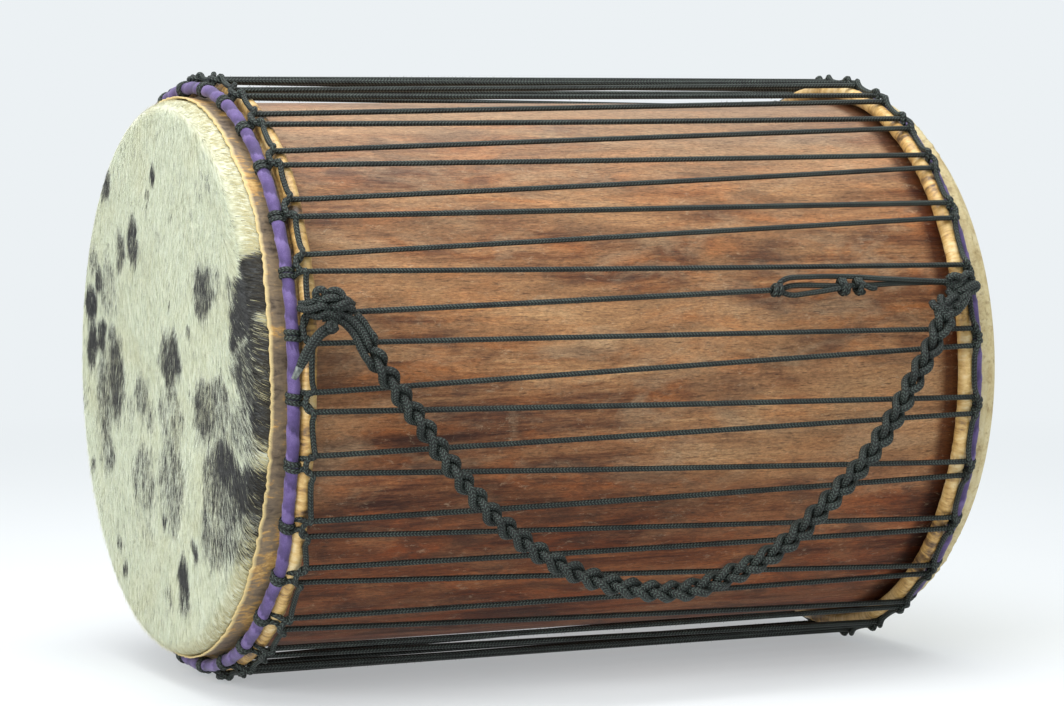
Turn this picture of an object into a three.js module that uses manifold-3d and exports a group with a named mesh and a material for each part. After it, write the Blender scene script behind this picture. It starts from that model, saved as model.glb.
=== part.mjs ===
// A dunun: a rope-tuned drum with two heads, lying on its side.
// Its axis is X, with the front head towards -X. The drum rests on its rope loops at z = 0,
// and the carrying strap hangs on the -Y side. Lengths are in millimetres.
import * as THREE from "three";
import { mergeVertices } from "three/addons/utils/BufferGeometryUtils.js";
import Module from "manifold-3d";

// The shell, hollowed from one log.
const shellLength = 590;
const shellRadius = 201.5;
const shellWall = 18;
const outerEdgeRound = 9;
const innerEdgeRound = 5;

// The heads. Each skin runs over the edge, round its flesh ring, and back out as a cut flap.
const skinThickness = 1.3;
const foldClearance = 2;
const flapReach = 11.5;
const frontFleshDepth = 39.3;
const backFleshDepth = 35.2;

// The iron rings. The flesh ring is inside the skin, and the crown ring is wound with cloth.
const fleshIronDiameter = 8;
const crownIronDiameter = 6.5;
const clothThickness = 0.9;

// The ropes.
const ropeDiameter = 4;
const legSpacing = 14.5;
const hitchWidth = 9;
const seatGap = 0.3;
const footFlat = 0.6;

// The braided strap, which swings about a line beside the drum, and its tail.
const strapDiameter = 12;
const tailDiameter = 6;
const strapClearance = 2.9;

// Counts and plain shares.
const hitchCount = 30;
const ringSteps = 45;
const hexagonSides = 6;
const ropeSides = 5;
const strapSides = 8;
const strapSteps = 44;
const fullTurn = 2 * Math.PI;
const halfShare = 0.5;

const shellHalf = shellLength / 2;
const ropeRadius = ropeDiameter / 2;
const fleshIronRadius = fleshIronDiameter / 2;
const crownIronRadius = crownIronDiameter / 2;
const headFace = shellHalf + seatGap + skinThickness;
const pitch = fullTurn / hitchCount;

const wasm = await Module();
wasm.setup();

// A point at a place along the axis, a distance from it, and an angle up from the -Y side.
function place(along, radius, angle) {
  return new THREE.Vector3(along, -radius * Math.cos(angle), radius * Math.sin(angle));
}

function bare(geometry) {
  geometry.deleteAttribute("normal");
  geometry.deleteAttribute("uv");
  return mergeVertices(geometry);
}

function volumeOf(geometry) {
  const at = geometry.getAttribute("position");
  const [a, b, c] = [new THREE.Vector3(), new THREE.Vector3(), new THREE.Vector3()];
  let volume = 0;
  for (let i = 0; i < geometry.index.count; i += 3) {
    [a, b, c].forEach((corner, k) => corner.fromBufferAttribute(at, geometry.index.getX(i + k)));
    volume += a.dot(b.cross(c));
  }
  return volume;
}

// The same closed surface with its faces pointing out.
function outward(geometry) {
  const merged = bare(geometry);
  if (volumeOf(merged) < 0) {
    const index = Array.from(merged.index.array);
    for (let i = 0; i < index.length; i += 3) [index[i], index[i + 1]] = [index[i + 1], index[i]];
    merged.setIndex(index);
  }
  return merged;
}

function solid(geometry) {
  const closed = outward(geometry);
  return new wasm.Manifold(
    new wasm.Mesh({
      numProp: 3,
      vertProperties: new Float32Array(closed.getAttribute("position").array),
      triVerts: new Uint32Array(closed.index.array),
    }),
  );
}

function surface(body) {
  const mesh = body.getMesh();
  return new THREE.BufferGeometry()
    .setAttribute("position", new THREE.BufferAttribute(mesh.vertProperties, 3))
    .setIndex(new THREE.BufferAttribute(mesh.triVerts, 1));
}

const joined = (solids) => solids.reduce((whole, piece) => whole.add(piece));

// A closed outline of [along, radius] points, turned once round the drum's axis.
function turned(outline) {
  const profile = outline.map(([along, radius]) => new THREE.Vector2(radius, along));
  const lathe = new THREE.LatheGeometry(profile, ringSteps);
  lathe.rotateZ(-Math.PI / 2);
  return outward(lathe);
}

// The corners of a regular section, as [along, outward] pairs, from the first one's angle on.
function corners(radius, sides, firstAngle) {
  return Array.from({ length: sides }, (_, i) => {
    const angle = firstAngle + (i * fullTurn) / sides;
    return [radius * Math.cos(angle), radius * Math.sin(angle)];
  });
}

// The distance to a corner of a hexagon whose flats lie at the distance given.
const hexagonFlat = Math.cos(Math.PI / hexagonSides);
const cornerAt = (flat) => flat / hexagonFlat;
const firstCorner = Math.PI / 12;

// Both rings are hexagonal in section, with the skin and the cloth following their flats.
const skinFlat = fleshIronRadius * hexagonFlat + seatGap;
const clothFlat = crownIronRadius * hexagonFlat + seatGap;
const foldRadius = cornerAt(skinFlat + skinThickness);
const clothRadius = cornerAt(clothFlat + clothThickness);

// Distances from the drum's axis, from the wood outwards.
const collarOutside = shellRadius + seatGap + skinThickness;
const flapOutside = collarOutside + seatGap + skinThickness;
const fleshRadius = collarOutside + foldClearance + foldRadius;
const foldOutside = fleshRadius + foldRadius;
const legRadius = foldOutside + seatGap + ropeRadius;
const humpRadius = legRadius + ropeDiameter + seatGap;
const standHeight = humpRadius + ropeRadius - footFlat;

// Each hitch is a band of rope round the crown ring, squeezed thin on the skin's side. Its bore
// leaves room for the depth of the ring's facets. The thickness is given for each corner.
const facetDepth = foldOutside * (1 - Math.cos(Math.PI / ringSteps));
const hitchBore = cornerAt(clothFlat + clothThickness + seatGap + facetDepth / 2);
const hitchThickShares = [0.75, 0.85, 0.6, 0.5, 0.3, 0.45];
const hitchReach = hitchThickShares.map((share) => hitchBore + share * ropeDiameter);
const hitchRadius = flapOutside + seatGap + Math.min(...hitchReach);

// Where the rings and the cradle rope of an end lie, counted from the middle of the drum. The
// back end's hitches lie halfway between the front end's.
const crownRadius = hitchRadius + facetDepth / 2;
function endOf(name, side, fleshDepth, startShare) {
  const flesh = headFace - fleshDepth;
  const crown = flesh + (foldRadius + hitchReach[3]) * Math.cos(firstCorner) + seatGap;
  const cord = flesh + ropeRadius + seatGap + ropeRadius * halfShare;
  const hitchAngle = (k) => (k + startShare) * pitch;
  return { name, side, flesh, crown, cord, hitchAngle };
}
const front = endOf("front", -1, frontFleshDepth, 0);
const back = endOf("back", 1, backFleshDepth, halfShare);

// The shell's wall as one closed outline, with rounded bearing edges.
const arcShare = 1 - Math.SQRT1_2;
function shellOutline() {
  const bore = shellRadius - shellWall;
  const oneEnd = [
    [shellHalf - innerEdgeRound, bore],
    [shellHalf, bore + innerEdgeRound],
    [shellHalf, shellRadius - outerEdgeRound],
    [shellHalf - arcShare * outerEdgeRound, shellRadius - arcShare * outerEdgeRound],
    [shellHalf - outerEdgeRound, shellRadius],
  ];
  const otherEnd = oneEnd.map(([along, radius]) => [-along, radius]).reverse();
  const outline = [...oneEnd, ...otherEnd];
  return [...outline, outline[0]];
}

// Both sides of a bent strip, as one outline that starts and ends at the strip's first point.
function strip(line, thickness) {
  const points = line.map(([along, radius]) => new THREE.Vector2(along, radius));
  const steps = points.slice(1).map((point, i) => point.clone().sub(points[i]).normalize());
  const side = (sign) =>
    points.map((point, i) => {
      const before = steps[Math.max(i - 1, 0)];
      const after = steps[Math.min(i, steps.length - 1)];
      const middle = before.clone().add(after).normalize();
      const reach = (sign * thickness) / 2 / middle.dot(after);
      return [point.x + middle.y * reach, point.y - middle.x * reach];
    });
  return [...side(1), ...side(-1).reverse()];
}

// The skin's middle line, from the centre of the head to the cut edge of the flap.
function skinLine(end) {
  const middle = skinThickness / 2;
  const edge = [shellHalf - outerEdgeRound, shellRadius - outerEdgeRound];
  const round = outerEdgeRound + seatGap + middle;
  const wrap = corners(cornerAt(skinFlat + middle), hexagonSides, firstCorner)
    .slice(0, -1)
    .reverse()
    .map(([along, outwards]) => [end.flesh + along, fleshRadius + outwards]);
  return [
    [edge[0] + round, 0],
    [edge[0] + round, edge[1]],
    [edge[0] + round * Math.SQRT1_2, edge[1] + round * Math.SQRT1_2],
    [edge[0], edge[1] + round],
    [end.flesh + fleshIronRadius * halfShare, collarOutside - middle],
    ...wrap,
    [end.flesh + fleshIronRadius, flapOutside - middle],
    [end.crown + flapReach, flapOutside - middle],
  ];
}

const mirrored = (side, outline) => outline.map(([along, radius]) => [side * along, radius]);

function ironRing(side, along, radius, ironRadius) {
  const section = corners(ironRadius, hexagonSides, firstCorner);
  const ring = [...section, section[0]];
  return turned(mirrored(side, ring.map(([u, r]) => [along + u, radius + r])));
}

// The cloth is wound on the ring, and its seam stays open on the side next to the skin.
function crownCloth(end) {
  const seam = hexagonSides - 2;
  const around = (flat) => {
    const section = corners(cornerAt(flat), hexagonSides, firstCorner);
    const [first, ...rest] = [...section.slice(seam), ...section.slice(0, seam)];
    const gap = seatGap / 2;
    return [[first[0] - gap, first[1]], ...rest, [first[0] + gap, first[1]]];
  };
  const outside = around(clothFlat + clothThickness);
  const outline = [...outside, ...around(clothFlat).reverse(), outside[0]];
  return turned(mirrored(end.side, outline.map(([u, r]) => [end.crown + u, crownRadius + r])));
}

// A rope loop that goes once round the drum, with one section of the rope at each stop.
function ropeLoop(stops, thickness) {
  const section = corners(thickness, ropeSides, Math.PI / 2);
  const position = stops.flatMap(({ along, radius, angle }) =>
    section.flatMap(([u, r]) => place(along + u, radius + r, angle).toArray()),
  );
  const index = stops.flatMap((_, i) =>
    section.flatMap((_, j) => {
      const [here, next] = [i * ropeSides, ((i + 1) % stops.length) * ropeSides];
      const k = (j + 1) % ropeSides;
      return [here + j, next + j, next + k, here + j, next + k, here + k];
    }),
  );
  return new THREE.BufferGeometry()
    .setAttribute("position", new THREE.Float32BufferAttribute(position, 3))
    .setIndex(index);
}

// Where the two legs of the lacing and the humps of the cradle rope lie beside each hitch.
const legAngle = legSpacing / 2 / legRadius;
const humpAngle = (legSpacing / 2 + seatGap + ropeRadius * halfShare) / legRadius;
const apexRadius = crownRadius + clothRadius + ropeRadius;

// The band that holds the cradle rope to the crown ring. It is built for the back end, and the
// front end mirrors it.
function hitch(end, angle) {
  const outer = corners(1, hexagonSides, firstCorner).map(
    ([u, r], i) => new THREE.Vector2(u * hitchReach[i], r * hitchReach[i]),
  );
  const bore = corners(hitchBore, hexagonSides, firstCorner);
  const shape = new THREE.Shape(outer);
  shape.holes.push(new THREE.Path(bore.map(([u, r]) => new THREE.Vector2(u, r))));
  const band = new THREE.ExtrudeGeometry(shape, { depth: hitchWidth, bevelEnabled: false });
  band.translate(0, 0, -hitchWidth / 2);
  const axial = new THREE.Vector3(end.side, 0, 0);
  const out = place(0, 1, angle);
  const frame = new THREE.Matrix4().makeBasis(axial, out, axial.clone().cross(out));
  frame.setPosition(place(end.side * end.crown, hitchRadius, angle));
  return band.applyMatrix4(frame);
}

// The cradle rope's own loop: over the lacing's legs, up to each hitch and on along the flesh ring.
function cradleLoop(end, thickness) {
  const cord = end.side * end.cord;
  const apex = end.side * (end.crown - ropeRadius - seatGap);
  const stops = Array.from({ length: hitchCount }, (_, k) => {
    const angle = end.hitchAngle(k);
    return [
      { along: cord, radius: humpRadius, angle: angle - humpAngle },
      { along: apex, radius: apexRadius, angle },
      { along: cord, radius: humpRadius, angle: angle + humpAngle },
      { along: cord, radius: legRadius, angle: angle + pitch / 2 },
    ];
  });
  return ropeLoop(stops.flat(), thickness);
}

function cradleRope(end) {
  const hitches = Array.from({ length: hitchCount }, (_, k) => hitch(end, end.hitchAngle(k)));
  const whole = joined([cradleLoop(end, ropeRadius), ...hitches].map(solid));
  return surface(whole.subtract(solid(ground())));
}

// All that lies below the floor that the drum rests on.
function ground() {
  const deep = 2 * footFlat;
  const box = new THREE.BoxGeometry(2 * headFace, shellRadius, deep);
  return box.translate(0, 0, -standHeight - deep / 2);
}

// A route through points in a fixed order, with one section of the rope at each point.
class Route extends THREE.Curve {
  constructor(points) {
    super();
    this.points = points;
  }
  getPoint(t, target = new THREE.Vector3()) {
    const last = this.points.length - 1;
    const i = Math.min(Math.floor(t * last), last - 1);
    return target.lerpVectors(this.points[i], this.points[i + 1], t * last - i);
  }
  getPointAt(u, target) {
    return this.getPoint(u, target);
  }
  computeFrenetFrames(steps) {
    const frames = { tangents: [], normals: [], binormals: [] };
    for (let i = 0; i <= steps; i++) {
      const here = this.points[i];
      const before = this.points[Math.max(i - 1, 0)];
      const after = this.points[Math.min(i + 1, steps)];
      const tangent = here.clone().sub(before).normalize();
      tangent.add(after.clone().sub(here).normalize()).normalize();
      const out = new THREE.Vector3(0, here.y, here.z).normalize();
      const normal = out.addScaledVector(tangent, -out.dot(tangent)).normalize();
      frames.tangents.push(tangent);
      frames.normals.push(normal);
      frames.binormals.push(tangent.clone().cross(normal));
    }
    return frames;
  }
}

function ropeSection(radius, sides) {
  return new THREE.Shape(corners(radius, sides, 0).map(([x, y]) => new THREE.Vector2(x, y)));
}

function ropeAlong(points, radius = ropeRadius) {
  return new THREE.ExtrudeGeometry(ropeSection(radius, ropeSides), {
    steps: points.length - 1,
    extrudePath: new Route(points),
  });
}

// A ring of rope centred on a point, as it stands after the turn given.
function ropeRing(centre, size, thickness, turn) {
  const ring = new THREE.TorusGeometry(size, thickness, ropeSides, 2 * ropeSides);
  return ring.applyMatrix4(turn).translate(centre.x, centre.y, centre.z);
}

// The turn that the lacing makes under the cradle rope, from its upper leg to its lower leg.
function turnBack(end, k) {
  const along = end.side * (end.cord - ropeRadius * halfShare);
  const angle = end.hitchAngle(k);
  return [place(along, legRadius, angle + legAngle), place(along, legRadius, angle - legAngle)];
}

// The tie-off of the lacing: an eye at the end of its first run, which its tail is drawn through
// and tied back to with two half hitches. A place along the drum is a share of the shell's half
// length, a lift is a share of the rope's diameter, and an angle is a share of the pitch.
const eyePlaceShare = 0.329;
const eyeAngleShare = 1.45;
const tailOutShares = [[0.617, 0.5, 1.483], [0.563, 0.5, 1.617], [0.4, 1, 1.608]];
const tailBackShares = [[0.451, 0, 1.333], [0.515, 0.5, 1.383], [0.61, 0.5, 1.35]];
const halfHitchShares = [[0.529, 0.5, 1.442], [0.576, 0.5, 1.442]];

const atShares = ([placeShare, liftShare, angleShare]) =>
  place(placeShare * shellHalf, legRadius + liftShare * ropeDiameter, angleShare * pitch);

const eyeRadius = ropeDiameter + ropeRadius * halfShare;
const eyePlace = eyePlaceShare * shellHalf;
const eyeAngle = eyeAngleShare * pitch;

function eye() {
  const axial = new THREE.Vector3(1, 0, 0);
  const out = place(0, 1, eyeAngle);
  const flat = new THREE.Matrix4().makeBasis(axial, out.clone().cross(axial), out);
  return ropeRing(place(eyePlace, legRadius, eyeAngle), eyeRadius, ropeRadius, flat);
}

function lacingTail() {
  const rim = eyePlace + eyeRadius;
  const step = ropeDiameter + seatGap;
  const onRim = rim - ropeRadius * halfShare;
  const aside = ropeRadius / legRadius;
  return [
    ...tailOutShares.map(atShares),
    place(rim + step, legRadius + step, eyeAngle + aside),
    place(onRim, legRadius + step, eyeAngle),
    place(rim - step, legRadius, eyeAngle),
    place(onRim, legRadius - step, eyeAngle),
    place(rim + step, legRadius - ropeRadius, eyeAngle - aside),
    ...tailBackShares.map(atShares),
  ];
}

// One rope laces the whole drum, down and round from the eye to the tail.
function lacingRope() {
  const turns = Array.from({ length: hitchCount }, (_, i) => [
    ...turnBack(front, 1 - i),
    ...turnBack(back, -i),
  ]).flat();
  const start = place(eyePlace - eyeRadius, legRadius, eyeAngle);
  const across = new THREE.Matrix4().makeRotationY(Math.PI / 2);
  const halfHitches = halfHitchShares.map((shares) =>
    ropeRing(atShares(shares), ropeDiameter, ropeRadius, across),
  );
  const run = ropeAlong([start, ...turns, ...lacingTail()]);
  return surface(joined([run, eye(), ...halfHitches].map(solid)));
}

// The strap's route, as shares of the shell's half length along the drum, and of the strap's
// distance from the axis towards -Y and upwards.
const strapRadius = legRadius + ropeRadius + strapClearance + strapDiameter / 2;
const strapShares = [
  [-0.8136, 0.9726, 0.2317],
  [-0.7932, 0.9726, 0.2317],
  [-0.7729, 0.9748, 0.2217],
  [-0.7576, 0.9843, 0.1783],
  [-0.7424, 0.9965, 0.1174],
  [-0.7153, 1.0026, 0.0609],
  [-0.6847, 1.0043, 0.0043],
  [-0.6475, 1.0043, -0.0565],
  [-0.5966, 1.0043, -0.1478],
  [-0.5288, 1.0043, -0.2609],
  [-0.4542, 1.0043, -0.3652],
  [-0.3695, 1.0043, -0.4565],
  [-0.2644, 1.0043, -0.5413],
  [-0.1458, 1.0043, -0.6],
  [-0.0136, 1.0043, -0.6326],
  [0.0746, 1.0043, -0.6326],
  [0.1763, 1.0043, -0.5978],
  [0.2712, 1.0043, -0.5522],
  [0.3525, 1.0043, -0.4913],
  [0.4339, 1.0043, -0.4043],
  [0.5085, 1.0043, -0.3174],
  [0.5831, 1.0043, -0.2174],
  [0.6441, 1.0043, -0.113],
  [0.6949, 1.0043, -0.0043],
  [0.7356, 1.0022, 0.0739],
  [0.7661, 0.9957, 0.1391],
  [0.7847, 0.9839, 0.1913],
  [0.8, 0.9748, 0.2239],
  [0.8169, 0.9726, 0.2317],
  [0.8339, 0.9726, 0.2317],
];
const strapPoints = strapShares.map(([alongShare, towardsShare, upShare]) =>
  new THREE.Vector3(
    alongShare * shellHalf,
    -towardsShare * strapRadius,
    upShare * strapRadius,
  ),
);

function strap(radius) {
  return new THREE.ExtrudeGeometry(ropeSection(radius, strapSides), {
    steps: strapSteps,
    extrudePath: new THREE.CatmullRomCurve3(strapPoints),
  });
}

// The short stub that an end of the strap meets, face to face.
function strapStub(end, tip, length) {
  const stub = new THREE.CylinderGeometry(strapDiameter / 2, strapDiameter / 2, length, strapSides);
  stub.rotateZ(Math.PI / 2);
  return stub.translate(tip.x + end.side * (seatGap + length / 2), tip.y, tip.z);
}

// A turn of rope laid over the flesh ring and the cradle rope, in a plane through the axis.
function saddle(end, angleShare) {
  const over = humpRadius + ropeRadius * halfShare;
  const wood = end.flesh - foldRadius - seatGap - ropeRadius;
  const stops = [
    [wood, fleshRadius],
    [wood, foldOutside + ropeRadius],
    [end.flesh - ropeRadius, over],
    [end.cord + ropeRadius, over],
    [end.crown - ropeRadius, over - ropeDiameter],
  ];
  const angle = angleShare * pitch;
  return ropeAlong(stops.map(([along, radius]) => place(end.side * along, radius, angle)));
}

// The knots are tied over the cradle rope and beside the strap, so each is hollowed for both.
const looseShare = 1.2;
function tied(end, pieces) {
  const loose = seatGap * looseShare;
  const room = [cradleLoop(end, ropeRadius + loose), strap(strapDiameter / 2 + loose)];
  return surface(joined(pieces.map(solid)).subtract(joined(room.map(solid))));
}

// The knots' loops are of doubled rope. Their places are shares of the strap's diameter, counted
// from the flesh ring towards the middle of the drum, and their angles are shares of the pitch.
const knotRope = ropeRadius + ropeRadius * halfShare;
const knotRadius = humpRadius + knotRope + ropeRadius * halfShare;
const knotSize = strapDiameter / 2;
const tailRadius = humpRadius + ropeRadius + seatGap + tailDiameter / 2;

function atKnot(end, [placeShare, angleShare], radius) {
  const along = end.side * (end.flesh - placeShare * strapDiameter);
  return place(along, radius, angleShare * pitch);
}

// A loop of a knot, tilted by shares of a full turn about the drum's axis and about the Y axis.
function knotLoop(centre, size, [rollShare, yawShare]) {
  const tilt = new THREE.Euler(rollShare * fullTurn, yawShare * fullTurn, 0);
  const turn = new THREE.Matrix4().makeRotationFromEuler(tilt);
  return ropeRing(centre, size, knotRope, turn);
}

// The strap's front end is tied round the rings with a lump of two loops, a stopper knot lies
// below it, and its doubled tail hangs free. The tail's drop is a share of the rope's diameter.
const frontSaddleShares = [1.35, 1.467];
const lowerLoopShares = { at: [0.15, 1.4], tilt: [0.25, 0.08] };
const upperLoopShares = { at: [0.82, 1.283], tilt: [0.208, -0.064] };
const stopperShares = { at: [0.65, 1.067], tilt: [0.167, 0] };
const tailShares = [
  [0.73, 0, 1.033],
  [0.07, 0, 0.917],
  [-0.68, 0, 0.717],
  [-1.18, 0.1, 0.55],
  [-1.68, 0.5, 0.325],
];
function frontStrapKnot() {
  const route = tailShares.map(([placeShare, dropShare, angleShare]) =>
    atKnot(front, [placeShare, angleShare], tailRadius - dropShare * ropeDiameter),
  );
  const [lower, upper, stopper] = [lowerLoopShares, upperLoopShares, stopperShares];
  return tied(front, [
    strapStub(front, strapPoints[0], strapDiameter),
    ...frontSaddleShares.map((share) => saddle(front, share)),
    knotLoop(atKnot(front, lower.at, knotRadius), knotSize, lower.tilt),
    knotLoop(atKnot(front, upper.at, knotRadius), knotSize, upper.tilt),
    knotLoop(atKnot(front, stopper.at, tailRadius), tailDiameter / 2, stopper.tilt),
    ropeAlong(route, tailDiameter / 2),
  ]);
}

// The strap's back end is hitched over the rings with two turns and one knot.
const backSaddleShares = [1.05, 1.167];
const backLoopShares = { at: [0.32, 1.133], tilt: [0.25, 0.064] };
function backStrapHitch() {
  const loop = backLoopShares;
  return tied(back, [
    strapStub(back, strapPoints.at(-1), knotSize),
    ...backSaddleShares.map((share) => saddle(back, share)),
    knotLoop(atKnot(back, loop.at, knotRadius), knotSize, loop.tilt),
  ]);
}

function material(color, roughness, metalness = 0) {
  return new THREE.MeshStandardMaterial({ color, roughness, metalness });
}

const wood = material(0x8a5638, 0.6);
const hairHide = material(0xd6d8c4, 0.85);
const bareHide = material(0xdccda0, 0.6);
const iron = material(0x5a5652, 0.5, 1);
const cloth = material(0x6e50a0, 0.9);
const rope = material(0x2d3230, 0.75);

const drum = new THREE.Group();
drum.position.z = standHeight;

function add(name, geometry, finish) {
  const mesh = new THREE.Mesh(geometry, finish);
  mesh.name = name;
  drum.add(mesh);
}

add("shell", turned(shellOutline()), wood);
for (const [end, hide] of [[front, hairHide], [back, bareHide]]) {
  add(`${end.name}_skin`, turned(mirrored(end.side, strip(skinLine(end), skinThickness))), hide);
  const fleshRing = ironRing(end.side, end.flesh, fleshRadius, fleshIronRadius);
  const crownRing = ironRing(end.side, end.crown, crownRadius, crownIronRadius);
  add(`${end.name}_flesh_ring`, fleshRing, iron);
  add(`${end.name}_crown_ring`, crownRing, iron);
  add(`${end.name}_crown_cloth`, crownCloth(end), cloth);
  add(`${end.name}_cradle_rope`, cradleRope(end), rope);
}
add("lacing_rope", lacingRope(), rope);
add("carrying_strap", strap(strapDiameter / 2), rope);
add("front_strap_knot", frontStrapKnot(), rope);
add("back_strap_hitch", backStrapHitch(), rope);

export default drum;
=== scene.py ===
# A dunun, a rope-tuned drum with a head at each end, lying on its side on a pale floor.
import math
import random

import bmesh
import bpy
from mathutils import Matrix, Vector, noise


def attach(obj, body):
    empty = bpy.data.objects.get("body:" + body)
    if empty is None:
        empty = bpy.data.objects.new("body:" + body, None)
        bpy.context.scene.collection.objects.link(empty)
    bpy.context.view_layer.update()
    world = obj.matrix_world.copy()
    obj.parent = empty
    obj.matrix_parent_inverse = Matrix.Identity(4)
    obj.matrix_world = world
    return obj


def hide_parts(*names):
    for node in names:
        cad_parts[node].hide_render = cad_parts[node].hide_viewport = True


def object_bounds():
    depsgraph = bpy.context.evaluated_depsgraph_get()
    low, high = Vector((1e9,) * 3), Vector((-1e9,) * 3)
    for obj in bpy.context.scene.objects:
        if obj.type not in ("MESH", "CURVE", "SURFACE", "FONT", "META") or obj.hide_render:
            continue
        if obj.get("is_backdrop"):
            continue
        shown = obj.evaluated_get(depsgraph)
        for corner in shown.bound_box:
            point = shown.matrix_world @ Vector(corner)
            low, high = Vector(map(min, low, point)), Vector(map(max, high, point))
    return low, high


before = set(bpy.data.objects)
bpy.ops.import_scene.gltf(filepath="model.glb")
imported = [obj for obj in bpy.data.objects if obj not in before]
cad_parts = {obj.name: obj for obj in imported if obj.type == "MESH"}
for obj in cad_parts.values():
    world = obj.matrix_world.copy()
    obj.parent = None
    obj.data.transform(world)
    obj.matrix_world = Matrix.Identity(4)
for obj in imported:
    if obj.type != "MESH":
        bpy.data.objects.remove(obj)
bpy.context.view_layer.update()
scene = bpy.context.scene


# The camera. It stands off towards the spotted head, a little above the drum's middle,
# and looks slightly down through a long lens.
def linked(name, data):
    """An object of the data given, put in the scene."""
    made = bpy.data.objects.new(name, data)
    scene.collection.objects.link(made)
    return made


camera = linked("camera", bpy.data.cameras.new("camera"))
camera.data.lens = 116.5
camera.location = (-1.0987, -2.4039, 0.4188)
camera.rotation_euler = (math.radians(86.01), 0, math.radians(-24.61))
scene.camera = camera
scene.view_settings.view_transform = "Standard"


# The carrying strap. It is three runs of soft black cord plaited flat, and it hangs in one bow
# from the knots at the two ends of the drum. Every cord on the drum is braided of black yarn.
def smooth(points, step, closed=False):
    """Points a step apart along a smooth line through the points given."""
    if closed:
        ends = [points[-1], *points, points[0], points[1]]
    else:
        ends = [2 * points[0] - points[1], *points, 2 * points[-1] - points[-2]]
    fine = []
    for a, b, c, d in zip(ends, ends[1:], ends[2:], ends[3:]):
        u, v, w = (max(math.sqrt((q - p).length), 1e-4) for p, q in ((a, b), (b, c), (c, d)))
        leaving = (c - b) - (c - a) * (v / (u + v)) + (b - a) * (v / u)
        arriving = (c - b) - (d - b) * (v / (v + w)) + (d - c) * (v / w)
        parts = max(2, math.ceil((c - b).length / step))
        for k in range(parts):
            t = k / parts
            fine.append(
                b * (2 * t**3 - 3 * t**2 + 1)
                + leaving * (t**3 - 2 * t**2 + t)
                + c * (3 * t**2 - 2 * t**3)
                + arriving * (t**3 - t**2)
            )
    return fine if closed else [*fine, points[-1]]


def cord_mesh(routes, radius, step=0.002, closed=False, sides=8, whole=None):
    """A bmesh, new or given, with a tube along each route. Its UVs are the way along and round."""
    whole = whole or bmesh.new()
    for route in routes:
        line = smooth(route, step, closed)
        curve = bpy.data.curves.new("run", "CURVE")
        curve.dimensions = "3D"
        curve.bevel_depth = radius
        curve.bevel_resolution = (sides - 4) // 2
        spline = curve.splines.new("POLY")
        spline.points.add(len(line) - 1)
        for knot, place in zip(spline.points, line):
            knot.co = (*place, 1)
        spline.use_cyclic_u = closed
        holder = linked("run", curve)
        seen = holder.evaluated_get(bpy.context.evaluated_depsgraph_get())
        tube = bpy.data.meshes.new_from_object(seen)
        runs = [0.0]
        for p, q in zip(line, [*line[1:], line[0]]):
            runs.append(runs[-1] + (q - p).length)
        parts = len(line) if closed else len(line) - 1
        for corner in tube.uv_layers[0].data:
            corner.uv = (runs[round(corner.uv[0] * parts)], corner.uv[1])
        whole.from_mesh(tube)
        bpy.data.objects.remove(holder)
        bpy.data.curves.remove(curve)
        bpy.data.meshes.remove(tube)
    open_ends = [e for e in whole.edges if e.is_boundary]
    bmesh.ops.holes_fill(whole, edges=open_ends, sides=0)
    for face in whole.faces:
        face.smooth = True
    return whole


def shown(name, shape, materials):
    """An object in the scene with a shape and its materials."""
    mesh = bpy.data.meshes.new(name)
    shape.to_mesh(mesh)
    shape.free()
    for material in materials:
        mesh.materials.append(material)
    return linked(name, mesh)


def piece(name, shape, materials, body, *nodes):
    """A finished piece that rides on a body and stands for the solids named."""
    made = shown(name, shape, materials)
    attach(made, body)
    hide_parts(*nodes)
    return made


def colour(red, green, blue):
    """A colour seen as these steps of 255, as the light it stands for."""
    return tuple(((c / 255 + 0.055) / 1.055) ** 2.4 for c in (red, green, blue))


def node(tree, kind, sockets=(), **settings):
    """A shader node with its settings, and its sockets given values or other nodes' outputs."""
    made = tree.nodes.new("ShaderNode" + kind)
    for name, value in settings.items():
        setattr(made, name, value)
    for name, value in dict(sockets).items():
        if isinstance(value, bpy.types.NodeSocket):
            tree.links.new(value, made.inputs[name])
        else:
            made.inputs[name].default_value = value
    return made


def maths(tree, operation, first, second=0.0):
    return node(tree, "Math", {0: first, 1: second}, operation=operation).outputs[0]


def times(tree, first, second):
    return maths(tree, "MULTIPLY", first, second)


def plus(tree, first, second):
    return maths(tree, "ADD", first, second)


def ranged(tree, value, start, end, first=0.0, last=1.0, kind="LINEAR"):
    """A value that goes from the first to the last as another goes from the start to the end."""
    sockets = {0: value, 1: start, 2: end, 3: first, 4: last}
    return node(tree, "MapRange", sockets, interpolation_type=kind).outputs[0]


def speckle(tree, place, scale, detail=3.0, rough=0.55, warp=0.0):
    """Noise from 0 to 1 at a place, which is another node's output."""
    sockets = {"Vector": place, "Scale": scale, "Detail": detail}
    sockets.update({"Roughness": rough, "Distortion": warp})
    return node(tree, "TexNoise", sockets).outputs["Fac"]


def stretched(tree, place, scale, turn=(0, 0, 0)):
    return node(tree, "Mapping", {"Vector": place, "Scale": scale, "Rotation": turn}).outputs[0]


def ramp(tree, factor, *stops):
    """Colours along a factor: each stop is a position and a colour in steps of 255."""
    made = node(tree, "ValToRGB", {"Fac": factor})
    elements = made.color_ramp.elements
    for element, (position, *shade) in zip(elements, (stops[0], stops[-1])):
        element.position, element.color = position, (*colour(*shade), 1)
    for position, *shade in stops[1:-1]:
        elements.new(position).color = (*colour(*shade), 1)
    return made.outputs["Color"]


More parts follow.
